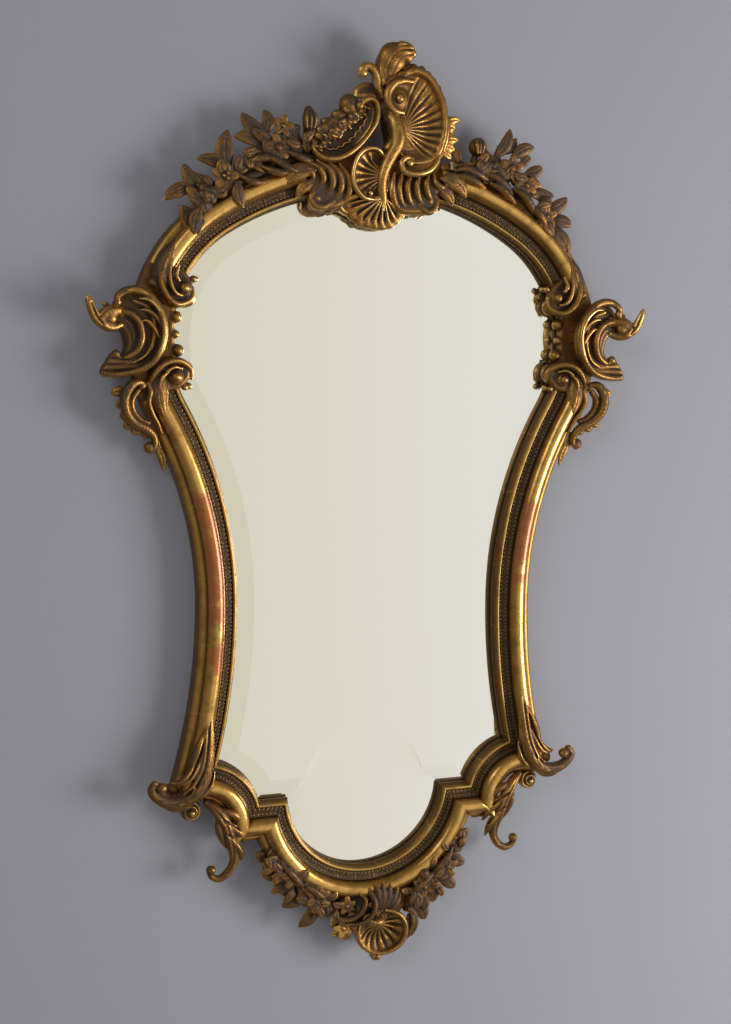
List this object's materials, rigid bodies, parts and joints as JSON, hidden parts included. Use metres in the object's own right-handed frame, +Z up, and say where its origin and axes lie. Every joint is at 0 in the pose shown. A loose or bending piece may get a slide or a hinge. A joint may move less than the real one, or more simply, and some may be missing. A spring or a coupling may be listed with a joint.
{
  "type": "wall mirror",
  "caption": "Ornate gilt wall mirror: waisted beveled glass in a carved rococo frame with shell crest, flower sprays, side scrolls and shell base, hung by swinging D-rings.",
  "frame": {"origin": "on the wall plane, midway between the two hanging rings, at the height where the hooks bear", "axes": "+Z up, +X to the right as the viewer faces the mirror, +Y into the wall"},
  "size_m": [0.7544, 0.063, 1.2139],
  "materials": {
    "gilt_moulding": "burnished gold leaf, rubbed back to red clay along the crown",
    "gilt_carving": "antique gold leaf, bright on the ridges and dark in the recesses",
    "gilt_block": "toned gold over wood, bare at the back",
    "dark_strip": "dark toned pressed composition with a row of small tongues",
    "mirror_glass": "silvered, with a wide ground bevel",
    "backboard": "bare thin board",
    "dowel": "bare hardwood",
    "nail_steel": "dull steel",
    "screw_steel": "plain steel",
    "hanger_brass": "plain brass",
    "bumper_rubber": "black rubber"
  },
  "bodies": {
    "frame": {"backboard_lower": "backboard", "backboard_middle": "backboard", "backboard_upper": "backboard", "base_block": "gilt_block", "base_rail": "gilt_moulding", "base_ribbon": "gilt_carving", "base_shell": "gilt_carving", "base_strip": "dark_strip", "board_nails": "nail_steel", "carving_screws": "screw_steel", "crest_block": "gilt_block", "crest_curl": "gilt_carving", "crest_finial": "gilt_carving", "crest_leafage_left": "gilt_carving", "crest_leafage_right": "gilt_carving", "crest_lower_shell": "gilt_carving", "crest_middle_shell": "gilt_carving", "crest_panel": "gilt_carving", "crest_scroll": "gilt_carving", "crest_shell": "gilt_carving", "crest_stem": "gilt_carving", "foot_discs": "gilt_carving", "foot_scroll_left": "gilt_carving", "foot_scroll_right": "gilt_carving", "garland_left": "gilt_carving", "garland_right": "gilt_carving", "hanger_screws": "screw_steel", "hanger_strap_left": "hanger_brass", "hanger_strap_right": "hanger_brass", "lower_rail_left": "gilt_moulding", "lower_rail_right": "gilt_moulding", "lower_strip_left": "dark_strip", "lower_strip_right": "dark_strip", "mirror_glass": "mirror_glass", "pendant_leaf_left": "gilt_carving", "pendant_leaf_right": "gilt_carving", "rail_dowels": "dowel", "sight_balls": "gilt_carving", "spray_left": "gilt_carving", "spray_right": "gilt_carving", "stile_rail_left": "gilt_moulding", "stile_rail_right": "gilt_moulding", "stile_strip_left": "dark_strip", "stile_strip_right": "dark_strip", "top_rail_left": "gilt_moulding", "top_rail_right": "gilt_moulding", "top_strip_left": "dark_strip", "top_strip_right": "dark_strip", "wall_bumpers": "bumper_rubber", "wing_block_left": "gilt_block", "wing_block_right": "gilt_block", "wing_clasps": "gilt_carving", "wing_comma_left": "gilt_carving", "wing_comma_right": "gilt_carving", "wing_prong_left": "gilt_carving", "wing_prong_right": "gilt_carving", "wing_scroll_left": "gilt_carving", "wing_scroll_right": "gilt_carving"},
    "ring_left": {"hanger_ring_left": "hanger_brass"},
    "ring_right": {"hanger_ring_right": "hanger_brass"}
  },
  "joints": [
    {"name": "ring_left_hinge", "type": "hinge", "parent": "frame", "child": "ring_left", "pos_m": [-0.292, -0.0031, -0.0185], "axis": [-1, 0, 0], "range_deg": [0, 150]},
    {"name": "ring_right_hinge", "type": "hinge", "parent": "frame", "child": "ring_right", "pos_m": [0.292, -0.0031, -0.0185], "axis": [-1, 0, 0], "range_deg": [0, 150]}
  ]
}
